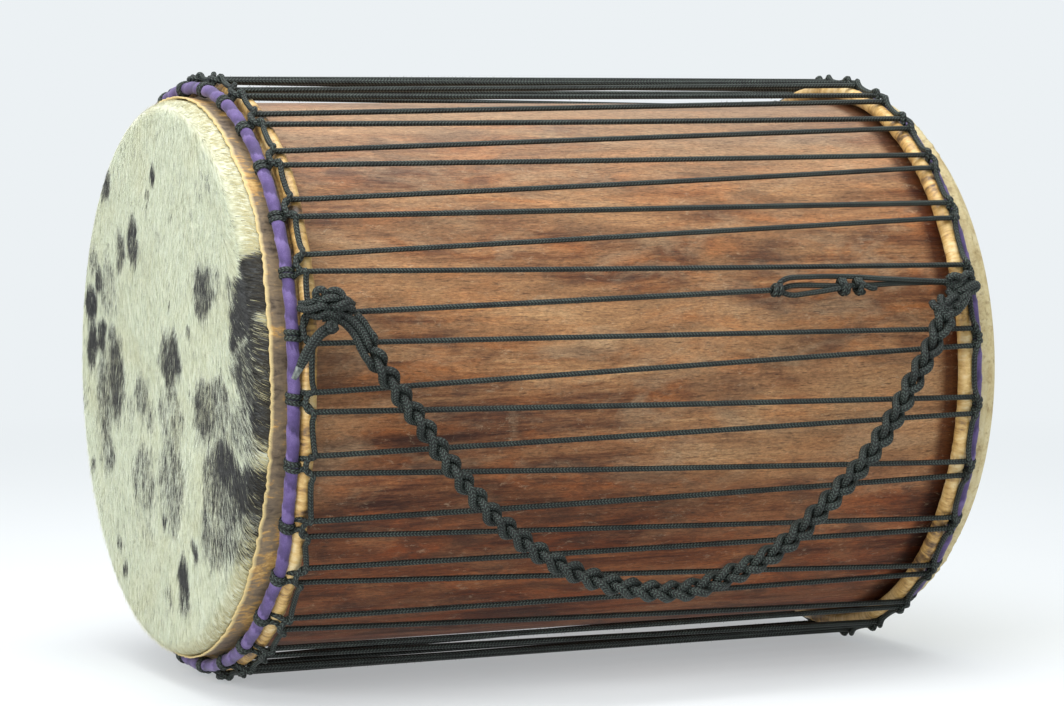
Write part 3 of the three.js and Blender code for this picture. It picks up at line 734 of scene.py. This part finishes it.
front_flesh = (
    (-90, 260), (-50, 260), (-36, 260.2), (-16, 263), (-4, 262.3), (30, 257), (45, 254.8),
    (75, 253.5), (130, 254.5), (180, 257), (270, 260),
)
front_flap = (
    (-90, 285), (-60, 287), (-36, 288), (-10, 287.5), (10, 287), (20, 286.3), (28, 284),
    (41, 283.4), (50, 284.5), (80, 283.5), (130, 282.5), (180, 284), (270, 285),
)
back_flesh = ((-90, 261.4), (270, 261.4))
back_flap = (
    (-90, 286), (-45, 287), (0, 284.5), (45, 286.5), (80, 287), (180, 284), (270, 286),
)
front_shape = hide_shape(-1, 0.0032, 420, front_flesh, front_flap, 0.0004)
hair_layer = front_shape.verts.layers.float.new("dark_hair")
for vert in front_shape.verts:
    if vert.co.x < -side_end:
        vert[hair_layer] = spotted(vert.co.y, vert.co.z - axis_height)
front_hides = [hair_hide, flap_hide, fold_hide]
front_hide = piece("front_head_hide", front_shape, front_hides, "drum", "front_skin")
back_shape = hide_shape(1, 0.01, 420, back_flesh, back_flap, 0.0022)
back_hides = [bare_hide, bare_hide, fold_hide]
back_hide = piece("back_head_hide", back_shape, back_hides, "drum", "back_skin")


# The front head's hair. It is short and stiff, lies downwards and outwards over the edge, and
# grows dark in the spots. Each hair is a thin blade.
hair_shape = bmesh.new()
tone_layer = hair_shape.verts.layers.float.new("tone")
rng = random.Random(7)
hair_count, side_reach = 96000, 0.0035
quarter = edge_radius * math.pi / 2
surface = edge_radius + hide_half
reach = disc_radius + quarter + side_reach
for _ in range(hair_count):
    gone = reach * math.sqrt(rng.random())
    angle = rng.uniform(-math.pi, math.pi)
    out = Vector((0, -math.cos(angle), math.sin(angle)))
    over = min(max(gone - disc_radius, 0) / edge_radius, math.pi / 2)
    root = out * (min(gone, disc_radius) + surface * math.sin(over))
    root.x = -edge_place - surface * math.cos(over) + max(gone - disc_radius - quarter, 0)
    away = out * math.sin(over) - Vector((math.cos(over), 0, 0))
    swirl = noise.noise(root * 14) * 0.5 + noise.noise(root * 60) * 0.35
    side_pull = max(0, -root.y - 0.125) / 0.075
    edge_pull = max(0, gone - 0.17) / 0.03 * 0.6
    flow = Vector((1.2 * over, swirl - 0.12, -1)) + out * (2.4 * side_pull + edge_pull)
    flow -= away * flow.dot(away)
    flow.normalize()
    length = rng.uniform(0.005, 0.0095) * (1 - 0.3 * over) * (1 + 0.5 * min(side_pull, 1))
    across = away.cross(flow) * rng.uniform(0.00016, 0.00028)
    tip = root + flow * length + away * rng.uniform(0.0003, 0.0013) - away * 0.0005 * over
    clump = 0.5 + 0.4 * noise.noise(Vector((root.y * 420, root.z * 260, 4)))
    clump += 0.35 * noise.noise(Vector((root.y * 90, root.z * 70, 9)))
    shade = spotted(root.y, root.z)
    is_dark = rng.gauss(clump, 0.22) < shade * 1.12 - 0.06
    tone = rng.uniform(0, 0.32) if is_dark else rng.uniform(0.66, 1)
    if not is_dark and shade > 0.6:
        tone -= rng.uniform(0, 0.35)
    blade = [hair_shape.verts.new(p) for p in (root - across, root + across, tip)]
    for vert in blade:
        vert.co.z += axis_height
        vert[tone_layer] = tone
    hair_shape.faces.new(blade)

hair, tree, shader, spot = finish("short stiff hair")
tone = node(tree, "Attribute", attribute_name="tone").outputs["Fac"]
hair_tones = (
    (0, 20, 20, 22), (0.35, 84, 84, 82), (0.6, 178, 179, 154), (0.8, 216, 222, 196),
    (1, 232, 238, 222),
)
base = ramp(tree, tone, *hair_tones)
stain = speckle(tree, spot, 16, 4, 0.6, 0.6)
stain = mask(tree, stain, 0.48, 0.68)
base = mixed(tree, times(tree, stain, 0.28), base, colour(236, 222, 182), "MULTIPLY")
out = from_axis(tree, spot)
out = node(tree, "VectorMath", {0: out, 1: (0, 1, 1)}, operation="MULTIPLY").outputs[0]
out = node(tree, "VectorMath", {0: out}, operation="LENGTH").outputs["Value"]
edge = ranged(tree, out, 0.194, 0.2045)
base = mixed(tree, edge, base, colour(222, 206, 172), "MULTIPLY")
joined_to(tree, shader, base, 0.7)
shader.inputs["Specular IOR Level"].default_value = 0.3
front_hair = piece("front_head_hair", hair_shape, [hair], "drum")


# The iron rings. They are bent from dark rolled rod and welded, and the hide and the cloth hide
# them. Each follows the bends its ring has been given by hand.
def ring_shape(side, mean, radius, bends, rod, sides, steps):
    """A spun ring of round section, shifted along the drum by its bends."""
    round_it = arc((mean, radius), rod, 0, 360 - 360 / sides, sides - 1)
    shape = spun([(side * x, r) for x, r in round_it], steps)
    for vert in shape.verts:
        vert.co.x += side * (bent(bends, polar(vert.co)[1]) - mean)
    return shape


crown_mean, front_crown_radius, back_crown_radius = 0.271, 0.2122, 0.2104
front_crown = (
    (-90, 271.5), (-46, 270.4), (-36, 269), (-16, 272.6), (-4, 273.4), (30, 270.8), (45, 270.2),
    (90, 270.5), (180, 271), (270, 271.5),
)
back_crown = (
    (-90, 274.2), (-45, 272.6), (0, 270.6), (45, 269.4), (90, 269.4), (180, 272), (270, 274.2),
)
iron, tree, shader, spot = finish("dark rolled iron")
scale = speckle(tree, spot, 120, 5, 0.65)
base = ramp(tree, scale, (0.4, 52, 48, 46), (0.6, 96, 84, 74), (0.75, 120, 78, 52))
joined_to(tree, shader, base, 0.55, scale, 0.0003, 0.4)
shader.inputs["Metallic"].default_value = 0.9
for side, end, name, mean, radius, bends, rod in (
    (-1, "front", "flesh", flesh_mean, flesh_radius, front_flesh, 0.004),
    (1, "back", "flesh", flesh_mean, flesh_radius, back_flesh, 0.004),
    (-1, "front", "crown", crown_mean, front_crown_radius, front_crown, 0.003),
    (1, "back", "crown", crown_mean, back_crown_radius, back_crown, 0.003),
):
    shape = ring_shape(side, mean, radius, bends, rod, 12, 180)
    ring = piece(f"{end}_{name}_iron", shape, [iron], "drum", f"{end}_{name}_ring")


# The crown rings' cloth. It is a strip of purple cotton, wound round the ring at a slant, with
# each turn's edge lying over the one before.
wrap_pitch = 0.019
purple, tree, shader, spot = finish("wound purple cotton")
weave = speckle(tree, spot, 1400, 2, 0.6)
fade = speckle(tree, spot, 75, 4, 0.6)
ridge = node(tree, "Attribute", attribute_name="ridge").outputs["Fac"]
tone = plus(tree, times(tree, fade, 0.55), times(tree, weave, 0.25))
# Each turn's colour lightens towards its raised edge: painted shading of the wound folds.
tone = plus(tree, tone, times(tree, ridge, 0.2))
base = ramp(tree, tone, (0.33, 52, 38, 80), (0.5, 82, 64, 116), (0.68, 118, 100, 152))
joined_to(tree, shader, base, 0.75, tone, 0.0008, 0.6)
shader.inputs["Sheen Weight"].default_value = 0.15
for side, end, crown_radius, cloth_radius, bends in (
    (-1, "front", front_crown_radius, 0.0042, front_crown),
    (1, "back", back_crown_radius, 0.0044, back_crown),
):
    shape = ring_shape(side, crown_mean, crown_radius, bends, cloth_radius, 24, 540)
    ridge_layer = shape.verts.layers.float.new("ridge")
    for vert in shape.verts:
        radius, angle = polar(vert.co)
        away = Vector((side * vert.co.x - bent(bends, angle), radius - crown_radius))
        winding = math.radians(angle) * crown_radius / wrap_pitch
        winding += math.atan2(away.y, away.x) / (2 * math.pi)
        uneven = 0.12 * noise.noise(Vector((math.floor(winding) * 3.7, side, 0)))
        shingle = (winding + uneven) % 1
        rise = 0.0007 * shingle**2
        rise += 0.0003 * noise.noise(Vector((angle, winding * 2, away.x * 300)))
        rise *= 1 - max(0, (shingle - 0.93) / 0.07)
        away = away.normalized() * rise
        move(vert, side * away.x, away.y)
        vert[ridge_layer] = shingle
    cloth = piece(f"{end}_wound_cloth", shape, [purple], "drum", f"{end}_crown_cloth")


# The cradle ropes. Each runs round its flesh ring, and at every station it goes out to the crown
# ring, takes two tight turns round it and comes back beside itself.
stations = 30
pitch = 360 / stations
cord_radius, floor_clearance = 0.00205, 0.0021
leg_radius = 218.95
degree_of = math.degrees(1 / leg_radius)
wrap_reach = 4.9
front_cord = (
    (-90, 256), (-46, 253.6), (-36, 254.8), (-16, 259.8), (-4, 262.2), (30, 260.7), (45, 260.7),
    (90, 259.5), (180, 259.5), (270, 256),
)
back_cord = ((-90, 264.6), (270, 264.6))


def above_floor(point):
    point.z = max(point.z, floor_clearance)
    return point


front_drift = (
    (-90, 0), (-60, -2), (-48, -4), (-36, 2.5), (-24, -3), (-12, -0.5), (0, -2.6), (12, 1.9),
    (24, 2.8), (36, 0), (270, 0),
)
back_drift = (
    (-90, -14.5), (-54, -14.9), (-42, -9.8), (-30, -6), (-18, -4), (-6, -0.3), (6, 4.9),
    (18, 7.6), (30, 13.6), (42, 15), (54, 15.6), (66, 13.3), (100, 12), (180, 1), (270, -14.5),
)
front_spread = (
    (-90, 7.2), (-48, 7.2), (-24, 6.1), (0, 6.8), (12, 10.3), (24, 6.3), (36, 7.2), (270, 7.2),
)
back_spread = ((-90, 4.8), (-30, 5.3), (0, 6.5), (60, 7), (180, 7.2), (270, 4.8))


def station(side, k):
    """A station's angle, how far its two runs are dragged from it, and half their spacing in mm."""
    if side < 0:
        angle = k * pitch
        return angle, 1000 * bent(front_drift, angle), 1000 * bent(front_spread, angle)
    angle = (k + 0.5) * pitch
    return angle + 1000 * bent(back_drift, angle) * degree_of, 0, 1000 * bent(back_spread, angle)


def hitch_stops(cord_at, crown_at, crown_radius, drag, shift, spread):
    """Stops of one station as millimetres along the drum, out, and along the ring."""
    gap = crown_at - 4.2 - cord_at
    stems = [
        (cord_at, 219.2, spread + 6.5), (cord_at + 0.1, 222.2, spread + 1.9),
        (cord_at + 0.8, 222.7, spread), (cord_at + 0.3 * gap + 0.4, 219.9, 0.6 * spread + 0.8),
        (cord_at + 0.62 * gap, 217.2, 3.8),
    ]
    slid = [(x, r, t, shift * min(1, (t - 3.8) / 3)) for x, r, t in stems]
    low = [(x, r, moved - t) for x, r, t, moved in slid]
    high = [(x, r, moved + t) for x, r, t, moved in slid]
    turns = []
    for k in range(16):
        turn = math.radians(140 - 45 * k)
        t = 4.4 * (45 * k) / 360 - 3.9 + drag
        x, r = crown_at + wrap_reach * math.cos(turn), crown_radius + wrap_reach * math.sin(turn)
        turns.append((x, r, t))
    return low + turns + high[::-1]


def pressed_flat(shape, side, bends, crown_radius):
    """Flatten a cord where it is pulled tight round the wound cloth."""
    for vert in shape.verts:
        radius, angle = polar(vert.co)
        away = Vector((side * vert.co.x - bent(bends, angle), radius - crown_radius))
        hold = min(max((9.5 - away.length * 1000) / 2, 0), 1)
        away = away.normalized() * (away.length - wrap_reach / 1000) * -0.4 * hold
        move(vert, side * away.x, away.y)


for side, end, cord_bends, crown_bends, crown_radius in (
    (-1, "front", front_cord, front_crown, front_crown_radius),
    (1, "back", back_cord, back_crown, back_crown_radius),
):
    rng = random.Random(11 + side)
    route = []
    for k in range(stations):
        angle, shift, spread = station(side, k)
        places = [1000 * bent(bends, angle) for bends in (cord_bends, crown_bends)]
        drag = rng.uniform(-0.8, 0.8)
        if side < 0:
            drag -= 3.2 * min(1, abs(math.sin(math.radians(angle))) / 0.6)
        for x, r, t in hitch_stops(*places, crown_radius * 1000, drag, shift, spread):
            route.append(above_floor(at(side * x, r, angle + t * degree_of)))
    cradle_shape = cord_mesh([route], cord_radius, step=0.0025, closed=True, sides=10)
    pressed_flat(cradle_shape, side, crown_bends, crown_radius)
    cradle = piece(f"{end}_cradle_cord", cradle_shape, [lacing_black], "drum", f"{end}_cradle_rope")


# The lacing. One long cord runs from end to end sixty times, passes under the cradle rope at
# each station and turns back over its stem. It is tied off in an eye with two half hitches.
def turn_back(side, k):
    """The cord's way round one station, from its upper leg to its lower leg."""
    angle, shift, spread = station(side, k)
    cord_at = 1000 * bent(front_cord if side < 0 else back_cord, angle)
    crown_at = 1000 * bent(front_crown if side < 0 else back_crown, angle)
    reach = 5.2 if side < 0 else 3.6
    height = 219.9 + 0.3 * max(0, crown_at - cord_at - 10)
    half = [
        (cord_at - 8, 219, spread), (cord_at - 2, leg_radius, spread),
        (cord_at + 1.2, 219, spread - 0.2), (cord_at + 0.75 * reach, height - 0.3, spread - 1.8),
        (cord_at + reach, height, 0.42 * spread),
    ]
    stops = [*half, (cord_at + reach + 0.4, height + 0.2, 0)]
    stops += [(x, r, -t) for x, r, t in reversed(half)]
    return [above_floor(at(side * x, r, angle + (t + shift) * degree_of)) for x, r, t in stops]


def slack(start, end, rng):
    """Points between two stations, where the cord bows very slightly."""
    bow = Vector((0, rng.uniform(-0.0005, 0.0005), rng.uniform(-0.0009, 0.0002)))
    return [start.lerp(end, t) + bow * math.sin(math.pi * t) for t in (0.15, 0.32, 0.5, 0.68, 0.85)]


rng = random.Random(5)
eye_angle = 17.4
lacing_route = [at(98, 219.5, eye_angle)]
for k in range(stations):
    for side, number in ((-1, 1 - k), (1, -k)):
        there = turn_back(side, number)
        lacing_route += slack(lacing_route[-1], there[0], rng) + there
tail_stops = (
    (246.6, 221, 18), (234, 220.2, 18.2), (222.6, 219.9, 18.2), (201.4, 219.5, 18.2),
    (184.3, 219.6, 18), (168, 220.4, 17.9), (152.3, 220.4, 17.9), (137.8, 220, 18.1),
    (122.5, 219.3, 18.3), (112.8, 218.2, 18.2), (106.2, 217, 17.7), (103.4, 218.6, 17.9),
    (104.2, 221.4, 18.7), (109.4, 222.5, 19.4), (127.4, 222.1, 19.7), (158.7, 222.1, 19.6),
    (190, 222.3, 19), (220.7, 223.2, 18.4), (243.4, 226, 17.8), (248, 228, 17.4),
)
lacing_route += through(tail_stops)
end_stops = (
    (104.6, 219.4, 17.5), (107, 218.9, 16.9), (110.6, 218.6, 16.6), (115.7, 218.6, 16.4),
    (124.9, 219, 16.6), (137.1, 220, 16.9), (148, 221.5, 17.2), (155.1, 224, 17.4),
)
half_hitches = [through(end_stops)]
for middle, turns in ((156, 12), (169.5, 11)):
    half_hitches.append([])
    for k in range(turns):
        a = k * 1.15
        turn = 17.7 + 5.4 * math.sin(a) * degree_of
        half_hitches[-1].append(at(middle - 2.6 + 0.5 * k, 221 + 4.2 * math.cos(a), turn))
loose_stops = ((170, 224.6, 18.2), (174, 225, 17.4), (178.5, 224.4, 17), (182, 223.6, 17.1))
half_hitches.append(through(loose_stops))
eye_rings = []
for middle in (99.6, 103.4):
    eye_rings.append([])
    for k in range(12):
        a = k * math.pi / 6
        turn = eye_angle + 3.4 * math.sin(a) * degree_of
        eye_rings[-1].append(at(middle + 0.8 * math.sin(a), 220.2 + 3.2 * math.cos(a), turn))
lacing_shape = cord_mesh([lacing_route, *half_hitches], cord_radius, step=0.004)
cord_mesh(eye_rings, cord_radius, closed=True, whole=lacing_shape)
lacing = piece("lacing_cord", lacing_shape, [lacing_black], "drum", "lacing_rope")

# Worn fibres stand out of the lacing here and there, where it has been rubbed.
fuzz_shape = bmesh.new()
fuzz_line = smooth(lacing_route, 0.004)
for here, there in zip(fuzz_line, fuzz_line[1:]):
    rubbed = noise.noise(Vector((here.x * 9, here.y * 40, here.z * 40)))
    if rubbed < 0.12 or (there - here).length < 0.001:
        continue
    way = (there - here).normalized()
    for _ in range(3):
        away = Vector([rng.uniform(-1, 1) for _ in range(3)])
        away = (away - way * away.dot(way)).normalized()
        root = here.lerp(there, rng.random()) + away * 0.0019
        tip = root + away * rng.uniform(0.0008, 0.002) + way * rng.uniform(-0.0008, 0.0008)
        across = way * 0.00014
        corners = (root - across, root + across, tip)
        fuzz_shape.faces.new([fuzz_shape.verts.new(corner) for corner in corners])
fuzz = piece("lacing_fuzz", fuzz_shape, [lacing_black], "drum")


# The floor and the light. A plain pale floor runs back to a plain pale background, under broad
# soft lamps from above, with weaker light from all round.
floor_shape = bmesh.new()
bmesh.ops.create_grid(floor_shape, x_segments=1, y_segments=1, size=12)
pale_floor, tree, shader, spot = finish("pale floor")
shader.inputs["Base Color"].default_value = (*colour(243, 246, 247), 1)
shader.inputs["Roughness"].default_value = 0.9
far = node(tree, "VectorMath", {0: spot}, operation="LENGTH").outputs["Value"]
far = ranged(tree, far, 0.4, 2.2, 0.42, 1.0)
background_tone = (*colour(236, 241, 244), 1)
plain = node(tree, "Emission", {"Color": background_tone})
blend = node(tree, "MixShader", {0: far})
tree.links.new(shader.outputs[0], blend.inputs[1])
tree.links.new(plain.outputs[0], blend.inputs[2])
tree.links.new(blend.outputs[0], tree.nodes["Material Output"].inputs["Surface"])
floor = shown("floor", floor_shape, [pale_floor])
floor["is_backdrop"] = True

world = bpy.data.worlds.new("soft daylight")
scene.world = world
world.use_nodes = True
tree = world.node_tree
seen = node(tree, "LightPath")
direct = maths(tree, "MAXIMUM", seen.outputs["Is Camera Ray"], seen.outputs["Is Glossy Ray"])
direct = maths(tree, "MAXIMUM", direct, seen.outputs["Is Transmission Ray"])
strength = ranged(tree, direct, 0.0, 1.0, 0.45, 1.0)
sky = tree.nodes["Background"]
sky.inputs["Color"].default_value = background_tone
tree.links.new(strength, sky.inputs["Strength"])


def lamp(name, place, aim, size, power):
    """A square soft lamp at a place, aimed at a point."""
    light = bpy.data.lights.new(name, "AREA")
    light.size = size
    light.energy = power
    made = linked(name, light)
    made.location = place
    made.rotation_euler = (Vector(aim) - Vector(place)).to_track_quat("-Z", "Y").to_euler()


lamp("top lamp", (-0.2, -0.3, 2.4), (0, 0, 0.2), 2.4, 68)
lamp("side lamp", (-2.3, -1.3, 1.2), (-0.1, 0, 0.2), 1.6, 50)

low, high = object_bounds()
